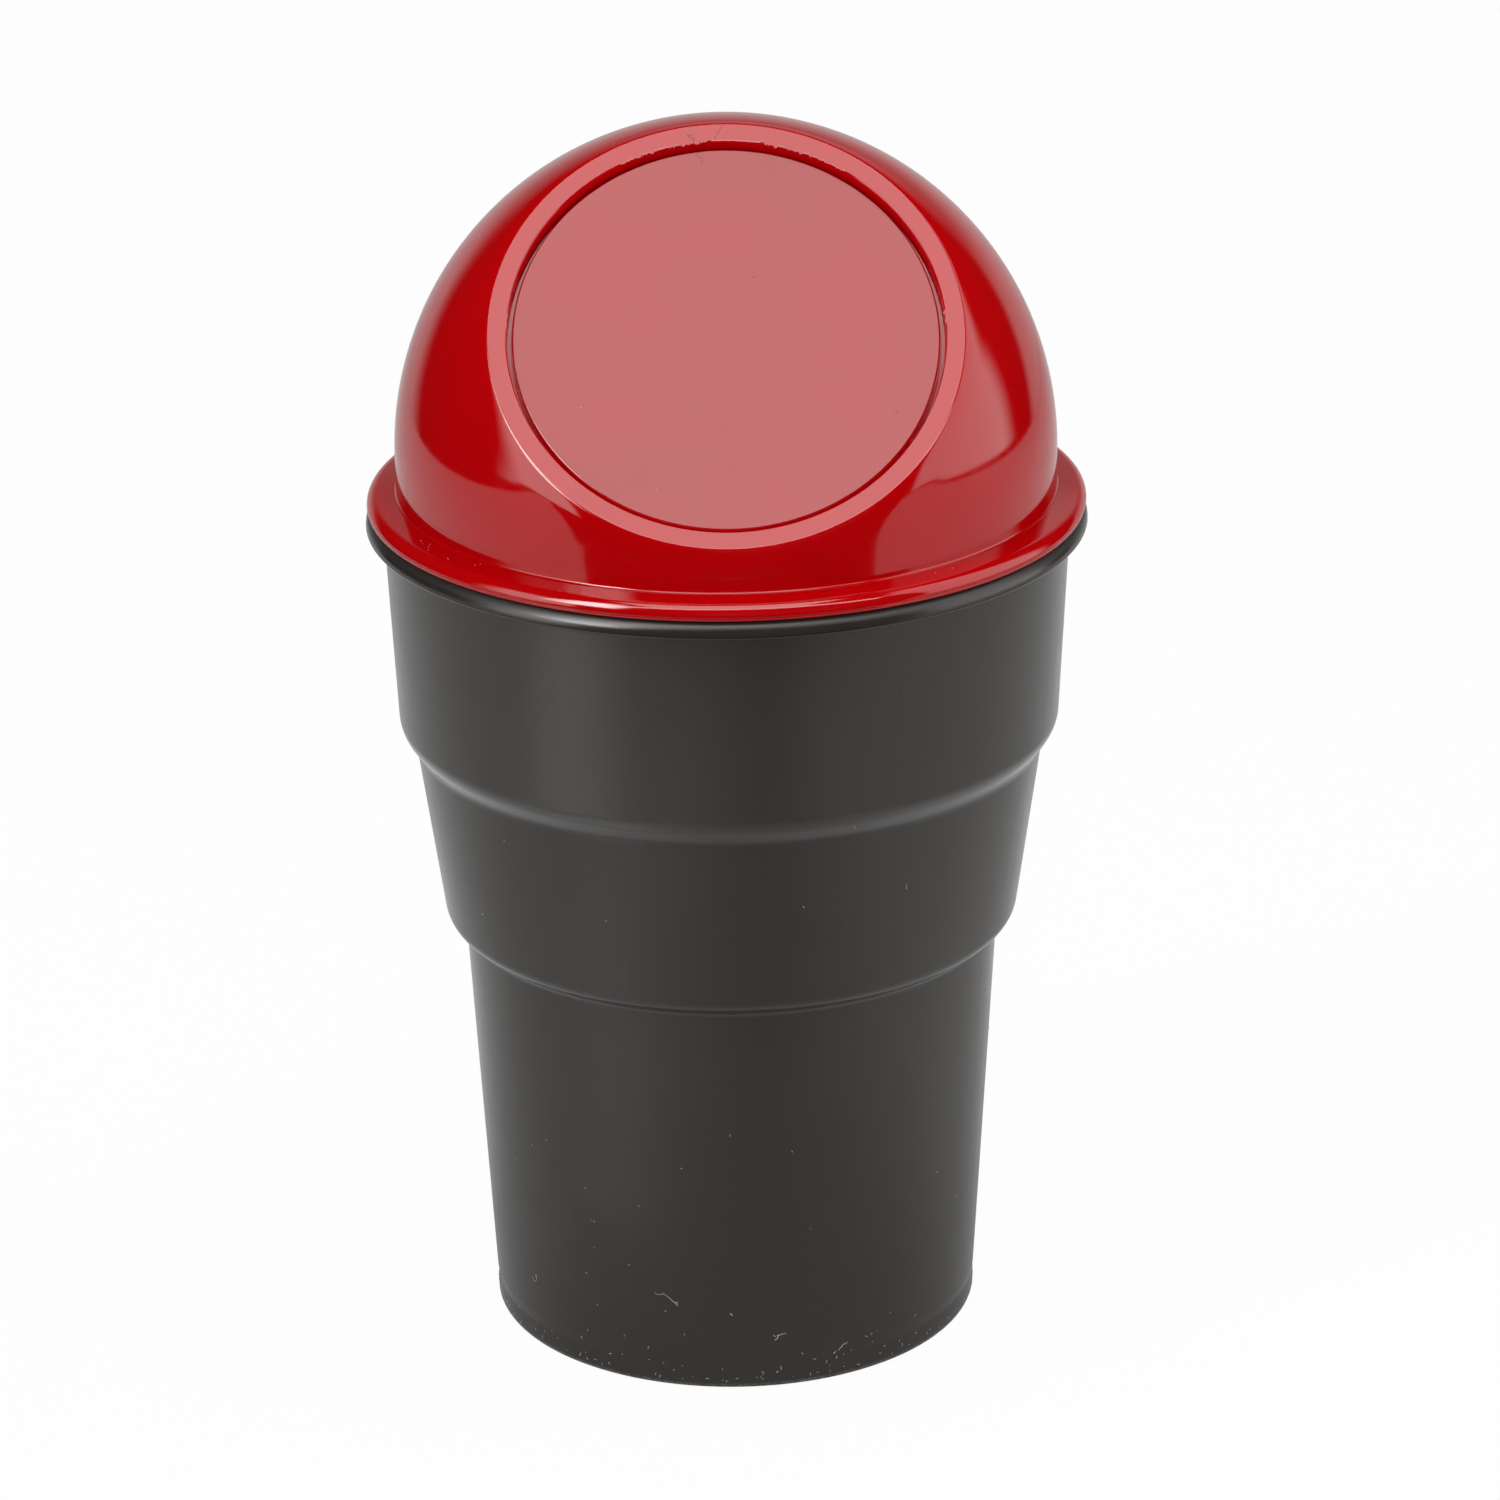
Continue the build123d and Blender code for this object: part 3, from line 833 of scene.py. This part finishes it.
flap_section = rounded_section([
    (0, flap_face_w, 0),
    (flap_radius, flap_face_w, flap_edge),
    (flap_radius + flap_depth * skirt_flare, skirt_w, fine_edge),
    (flap_radius - flap_wall + flap_depth * skirt_flare, skirt_w, fine_edge),
    (flap_radius - flap_wall + flap_wall * skirt_flare, flap_back_w, crease),
    (0, flap_back_w, 0),
])


def stop_rim():
    """Rim behind the bezel, round the flap's skirt below the hinge."""
    corners = [
        (flap_radius, stop_w), (stop_radius, stop_w), (stop_radius, skirt_w), (flap_radius, skirt_w)
    ]
    sections = []
    for i in range(stop_steps + 1):
        section = []
        for radius, w in corners:
            lift = asin(stop_top / radius)
            turn = pi - lift + (pi + 2 * lift) * i / stop_steps
            section.append(facet_point(radius * cos(turn), radius * sin(turn), w))
        sections.append(section)
    return capped_bar(sections)


ear_inner = 8.0 * mm
ear_width = 3.0 * mm
ear_outer = ear_inner + ear_width
ear_boss = 2.2 * mm
ear_play = 0.06 * mm
ear_root = 11.0 * mm
ear_root_top = sqrt((flap_radius - flap_wall)**2 - ear_outer**2)
low_root = Vector((ear_root_top - ear_root - hinge_v, flap_back_w - hinge_w))
high_root = Vector((ear_root_top - hinge_v, flap_back_w - hinge_w))
low_angle = atan2(low_root.y, low_root.x) + acos(ear_boss / low_root.length)
high_angle = atan2(high_root.y, high_root.x) - acos(ear_boss / high_root.length)
ear_outline = arc_points(ear_boss, low_angle, high_angle + 2 * pi, steps=28) + [high_root, low_root]
ear_shells = [
    eye_plate(ear_outline, pin_radius + ear_play, side * ear_inner, side * ear_outer)
    for side in (-1, 1)
]

# The flap's reds are darker than the lid's: painted shade that offsets the stronger light on its
# upturned face.
flap_shaded_deep, flap_shaded_bright = (0.268, 0.0030, 0.0040, 1), (0.288, 0.0020, 0.0034, 1)
flap_red = red_gloss(
    "red_flap", flap_shaded_deep, flap_shaded_bright, roughness=0.10, wave_height=2.0, face_w=flap_face_w
)
flap_shells = [skin(turned_rows(flap_section, flap_columns, facet_point)), stop_rim()] + ear_shells
flap = make_piece("flap", flap_shells, flap_red)
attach(flap, "flap")
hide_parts("swing_flap")

flap_hairs = [
    lint_on_facet(-2.9 * mm, 24.6 * mm, flap_face_w, 1.6 * mm, -1.26),
    lint_on_facet(20.2 * mm, -10.6 * mm, flap_face_w, 0.9 * mm, 0.8),
    lint_on_facet(3.4 * mm, 8.1 * mm, flap_face_w, 0.4 * mm, 0.3),
]
flap_hair = grown("flap_hair", dark_hair, hair_sizes, seed_mesh("flap_hair", flap_hairs))
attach(flap_hair, "flap")
flap_dust = [
    lint_on_facet(22.9 * mm, -6.9 * mm, flap_face_w, 0.22 * mm, 0.4),
    lint_on_facet(-17.5 * mm, -9.2 * mm, flap_face_w, 0.16 * mm, 1.9),
    lint_on_facet(-8.6 * mm, -20.4 * mm, flap_face_w, 0.14 * mm, 0.2),
]
flap_lint = grown("flap_lint", lint_hair, lint_sizes, seed_mesh("flap_lint", flap_dust))
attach(flap_lint, "flap")


# Hinge pin. A drawn steel rod pressed through the lid's two lugs; the flap's ears turn on it.
# It keeps its solid, with a drawn steel finish along its length.
def drawn_steel(name, tint, stretch):
    """Bright steel with fine streaks, drawn out along the axis whose stretch is small."""
    streak_depth, dark_share = 0.01 * mm, 0.8
    material, look = new_finish(name)
    place = look.node("ShaderNodeTexCoord", output="Object")
    lined = look.node("ShaderNodeMapping", {}, {"Vector": place, "Scale": stretch})
    streak = look.noise(lined, 2500.0, 3.0)
    base = streak.mix(tuple(c * dark_share for c in tint) + (1,), tint + (1,))
    bump = look.node(
        "ShaderNodeBump", {}, {"Strength": 0.3, "Distance": streak_depth, "Height": streak}
    )
    coated(look, base, bump, Roughness=streak.ramp(0.3, 0.7, 0.24, 0.38), Metallic=1.0)
    return material


pin = frame["nodes"]["hinge_pin"]
pin.data.materials.clear()
pin.data.materials.append(drawn_steel("pin_steel", (0.62, 0.62, 0.63), (0.02, 1, 1)))

# Return spring. Round spring wire coiled on the pin between the ears. One straight end lies on the
# back of the flap and the other presses up on the dome, so the coil winds up as the flap opens.
wire_radius = 0.3 * mm
coil_play = 0.25 * mm
coil_radius = pin_radius + coil_play + wire_radius
coil_pitch = 0.72 * mm
flap_leg = 13.5 * mm
leg_gap = 0.15 * mm
leg_rise = flap_back_w - leg_gap - wire_radius - hinge_w
leg_slope = asin(leg_rise / hypot(coil_radius, flap_leg)) - atan2(coil_radius, flap_leg)
coil_start = pi - facet_tilt - leg_slope
whole_turns = 7
coil_turns = whole_turns + (coil_start - pi / 2) / (2 * pi)
coil_half = coil_turns * coil_pitch / 2
dome_leg_top = hinge.z + coil_radius + wire_radius + leg_gap - dome_centre.z
dome_leg = sqrt(inner_dome_radius**2 - dome_leg_top**2 - coil_half**2) - hinge.y


def coil_tree(material):
    """Geometry nodes that lay a wire along one straight end, the coil and the other end."""
    tree = bpy.data.node_groups.new("coiled_wire", "GeometryNodeTree")
    tree.interface.new_socket("Geometry", in_out="OUTPUT", socket_type="NodeSocketGeometry")
    names = ["Wire Radius", "Coil Radius", "Pitch", "Turns", "Start Angle", "First End", "Last End"]
    for name in names:
        tree.interface.new_socket(name, in_out="INPUT", socket_type="NodeSocketFloat")
    build = Field(tree)
    group = tree.nodes.new("NodeGroupInput")
    wire, radius, pitch, turns, start, first_end, last_end = [
        Field(tree, group.outputs[name]) for name in names
    ]
    rise = pitch / (2 * pi)
    lean = build.math("SQRT", radius * radius + rise * rise)
    coil_length = turns * lean * (2 * pi)
    along = build.node("GeometryNodeSplineParameter", output="Factor")
    travel = along * (first_end + coil_length + last_end) - first_end
    on_coil = build.node("ShaderNodeClamp", {}, {"Value": travel / coil_length})
    past = travel - on_coil * coil_length
    angle = start - on_coil * turns * (2 * pi)
    side, height = build.math("COSINE", angle), build.math("SINE", angle)
    offset = on_coil * turns * pitch
    spot = build.node("ShaderNodeCombineXYZ", {}, {
        "X": turns * pitch * 0.5 - offset - past * rise / lean,
        "Y": side * radius + past * radius * height / lean,
        "Z": height * radius - past * radius * side / lean,
    })
    line = build.node("GeometryNodeCurvePrimitiveLine", {}, {"End": (1, 0, 0)})
    line = build.node("GeometryNodeResampleCurve", {}, {"Curve": line, "Count": 420})
    line = build.node("GeometryNodeSetPosition", {}, {"Geometry": line, "Position": spot})
    ring = build.node("GeometryNodeCurvePrimitiveCircle", {}, {"Resolution": 14, "Radius": wire})
    tube = build.node(
        "GeometryNodeCurveToMesh", {}, {"Curve": line, "Profile Curve": ring, "Fill Caps": True}
    )
    tube = build.node("GeometryNodeSetShadeSmooth", {}, {"Geometry": tube})
    tube = build.node("GeometryNodeRealizeInstances", {}, {"Geometry": tube})
    tube = build.node("GeometryNodeSetMaterial", {}, {"Geometry": tube, "Material": material})
    build.node("NodeGroupOutput", {}, {"Geometry": tube})
    return tree


spring_wire = drawn_steel("spring_wire", (0.50, 0.50, 0.51), (1, 1, 1))
spring = grown("spring", coil_tree(spring_wire), {
    "Wire Radius": wire_radius,
    "Coil Radius": coil_radius,
    "Pitch": coil_pitch,
    "Turns": coil_turns,
    "Start Angle": coil_start,
    "First End": flap_leg,
    "Last End": dome_leg,
})
spring.data.transform(Matrix.Translation(hinge))
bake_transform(spring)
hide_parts("return_spring")


# Stage. A white table with a grey sheet and a faint glow behind it, a key light with its core, its
# spill and its bounce at the left, a white panel at the right, soft boxes overhead and in front, and
# a black card and patches of light and shade on the table, which only reflections show.
def stage_sheet(name, corners, material, seen=False):
    """Flat card of the stage. One with four corners has a UV map over its width and height."""
    mesh = bpy.data.meshes.new(name)
    mesh.from_pydata(corners, [], [tuple(range(len(corners)))])
    if len(corners) == 4:
        card_map = mesh.uv_layers.new(name="card")
        for loop, spot in zip(card_map.data, ((0, 0), (1, 0), (1, 1), (0, 1))):
            loop.uv = spot
    mesh.materials.append(material)
    sheet = bpy.data.objects.new(name, mesh)
    bpy.context.scene.collection.objects.link(sheet)
    sheet.visible_camera = seen
    return sheet


def table_white():
    """White paper that keeps the bin's shadow and is clear from below."""
    white_share = 0.965
    material, look = new_finish("table_white")
    camera = look.node("ShaderNodeLightPath", output="Is Camera Ray")
    under = look.node("ShaderNodeNewGeometry", output="Backfacing")
    paper = look.node("ShaderNodeBsdfDiffuse", {}, {"Color": (0.66, 0.66, 0.66, 1)})
    glow = look.node("ShaderNodeEmission", {}, {"Color": (1, 1, 1, 1), "Strength": 1.0})
    clear = look.node("ShaderNodeBsdfTransparent")
    top = look.node("ShaderNodeMixShader", {}, {0: camera * white_share, 1: paper, 2: glow})
    both = look.node("ShaderNodeMixShader", {}, {0: under, 1: top, 2: clear})
    look.node("ShaderNodeOutputMaterial", {}, {"Surface": both})
    return material


def card_black():
    """Matt black card."""
    material, look = new_finish("card_black")
    card = look.node("ShaderNodeBsdfDiffuse", {}, {"Color": (0.01, 0.01, 0.01, 1)})
    look.node("ShaderNodeOutputMaterial", {}, {"Surface": card})
    return material


def card_glow(name, radiance, left, right, low, high):
    """Light cloth whose glow fades over these shares of its width and height at each side."""
    material, look = new_finish(name)
    spot = look.node("ShaderNodeTexCoord", output="UV")
    across = look.node("ShaderNodeSeparateXYZ", {}, {"Vector": spot}, "X")
    up = look.node("ShaderNodeSeparateXYZ", {}, {"Vector": spot}, "Y")
    level = across.ramp(0, left) * across.ramp(1 - right, 1, 1, 0)
    level = level * up.ramp(0, low) * up.ramp(1 - high, 1, 1, 0)
    glow = look.node("ShaderNodeEmission", {}, {"Color": (1, 1, 1, 1), "Strength": radiance})
    clear = look.node("ShaderNodeBsdfTransparent")
    cloth = look.node("ShaderNodeMixShader", {}, {0: level, 1: clear, 2: glow})
    look.node("ShaderNodeOutputMaterial", {}, {"Surface": cloth})
    return material


light_aim = Vector((0, 0, 0.117))


def polar(azimuth, elevation, distance):
    """A point about the lights' aim; azimuth 0 is the camera's side and 90 is the right."""
    a, e = radians(azimuth), radians(elevation)
    away = Vector((sin(a) * cos(e), -cos(a) * cos(e), sin(e)))
    return light_aim + away * distance


def over_table(azimuth, radius, height):
    """A point over the table, by its way and distance from the bin's axis."""
    return Vector((radius * sin(radians(azimuth)), -radius * cos(radians(azimuth)), height))


def light_card(name, left, right, low, high, material):
    """Upright card between two (azimuth, distance) ends, from one height to another."""
    spots = ((left, low), (right, low), (right, high), (left, high))
    corners = [over_table(*spot, height) for spot, height in spots]
    return stage_sheet(name, corners, material)


table_corners = [(-1.4, -1.2, 0), (1.5, -1.2, 0), (0.42, 0.70, 0), (-0.35, 0.70, 0)]
stage_sheet("table", table_corners, table_white(), seen=True)
back_low, back_high = -0.09, 0.44
back_corners = [
    over_table(127, 1.196, back_low),
    over_table(231, 1.144, back_low),
    over_table(214, 0.868, back_high),
    over_table(143, 0.902, back_high),
]
sheet_grey = card_glow("sheet_grey", radiance=0.53, left=0.16, right=0.16, low=0.005, high=0.6)
stage_sheet("back_sheet", back_corners, sheet_grey)
back_glow = card_glow("back_glow", radiance=0.48, left=0.39, right=0.48, low=0.35, high=0.4)
light_card("back_glow", (141.3, 0.96), (208.1, 0.85), 0.28, 0.75, back_glow).visible_diffuse = False
panel_white = card_glow("panel_white", radiance=2.0, left=0.12, right=0.12, low=0.005, high=0.2)
light_card("right_panel", (61, 1.385), (116.5, 0.727), 0.012, 1.75, panel_white)
spill_white = card_glow("spill_white", radiance=3.0, left=0.4, right=0.1, low=0.01, high=0.4)
light_card("left_spill", (-86, 1.2), (-46, 1.2), 0.008, 1.12, spill_white)
key_white = card_glow("key_white", radiance=10.5, left=0.25, right=0.25, low=0.15, high=0.2)
light_card("key_light", (-63, 1.1), (-45, 1.1), 0.31, 2.19, key_white)
key_core = card_glow("key_core", radiance=17.0, left=0.3, right=0.3, low=0.2, high=0.3)
light_card("key_core", (-58, 1.05), (-33, 1.05), 0.33, 1.3, key_core).visible_diffuse = False

bounce_lift, card_lift, patch_lift = 0.3 * mm, 0.6 * mm, 0.9 * mm
bounce_outline = [(-110, 0.27), (-45, 0.27), (-58, 0.95), (-110, 0.66)]
bounce = [over_table(*corner, bounce_lift) for corner in bounce_outline]
bounce_white = card_glow("bounce_white", radiance=2.1, left=0.9, right=0.0, low=0.08, high=0.0)
stage_sheet("bounce", bounce, bounce_white)

for name, azimuth, near, far, half_width, radiance, high in (
    ("front_shade", 10, 0.0, 0.28, 0.10, 0.48, 0.1),
    ("near_streak", -43, 0.06, 0.15, 0.042, 1.1, 0.5),
    ("far_streak", -51, 0.165, 0.30, 0.10, 1.65, 0.05),
):
    along, aside = over_table(azimuth, 1, 0), over_table(azimuth + 90, 1, 0)
    above = Vector((0, 0, patch_lift))
    spots = ((near, -half_width), (near, half_width), (far, half_width), (far, -half_width))
    corners = [along * reach + aside * across + above for reach, across in spots]
    patch_glow = card_glow(name, radiance, left=0.5, right=0.5, low=0.1, high=high)
    patch = stage_sheet(name, corners, patch_glow)
    patch.visible_diffuse = patch.visible_shadow = False

card_outline = [
    (-44, 0.33), (-50, 0.38), (-54, 0.5), (-56.5, 0.66), (-59, 0.83), (-61, 1.2), (-62, 2.5),
    (-25, 2.5), (25, 2.5), (60, 2.5), (58.5, 1.4), (57, 0.95), (54.5, 0.66), (51.5, 0.44),
    (48.5, 0.36), (45, 0.33), (0, 0.275),
]
front_card = [over_table(*corner, card_lift) for corner in card_outline]
stage_sheet("front_card", front_card, card_black())


def soft_box(name, azimuth, elevation, distance, width, height, radiance):
    """Area light that looks at the bin, with a face of this radiance."""
    light = bpy.data.lights.new(name, "AREA")
    light.shape = "RECTANGLE"
    light.size, light.size_y = width, height
    light.energy = radiance * pi * width * height
    box = bpy.data.objects.new(name, light)
    box.location = polar(azimuth, elevation, distance)
    box.rotation_euler = (box.location - polar(0, 0, 0)).to_track_quat("Z", "Y").to_euler()
    box.visible_camera = False
    bpy.context.scene.collection.objects.link(box)
    return box


soft_box("overhead", 0, 80, 0.7, width=0.45, height=0.455, radiance=4.0)
front_box = soft_box("front_box", 0, 56, 0.7, width=1.1, height=0.147, radiance=6.0)
front_box.visible_diffuse = False
front_fill = soft_box("front_fill", 15, 10, 1.2, width=1.0, height=0.5, radiance=4.0)
front_fill.visible_glossy = False

world = bpy.data.worlds.new("studio")
bpy.context.scene.world = world
world.use_nodes = True
world.node_tree.nodes.clear()
room = Field(world.node_tree)
seen = room.node("ShaderNodeLightPath", output="Is Camera Ray")
fill = room.node("ShaderNodeLightPath", output="Is Diffuse Ray")
room_fill, room_dim = 0.35, 0.01
strength = seen + fill * room_fill + room_dim
sky = room.node("ShaderNodeBackground", {}, {"Color": (1, 1, 1, 1), "Strength": strength})
room.node("ShaderNodeOutputWorld", {}, {"Surface": sky})

# Camera. It stands in front of the bin and looks down on it with a long lens, level but for a
# slight lean, as the photograph was taken.
camera = bpy.data.cameras.new("camera")
camera.sensor_width = 36.0
camera.lens = 148.46
camera_place = Vector((-0.0064, -0.7327, 0.35936))
camera_yaw, camera_pitch, camera_roll = radians(0.703), radians(21.213), radians(-0.614)
ahead = Vector((
    sin(camera_yaw) * cos(camera_pitch), cos(camera_yaw) * cos(camera_pitch), -sin(camera_pitch)
))
level = ahead.cross(Vector((0, 0, 1))).normalized()
upward = level.cross(ahead)
right = level * cos(camera_roll) + upward * sin(camera_roll)
top = upward * cos(camera_roll) - level * sin(camera_roll)
view = bpy.data.objects.new("camera", camera)
turned = Matrix((right, top, -ahead)).transposed().to_4x4()
view.matrix_world = Matrix.Translation(camera_place) @ turned
bpy.context.scene.collection.objects.link(view)
bpy.context.scene.camera = view
bpy.context.scene.view_settings.view_transform = "Standard"
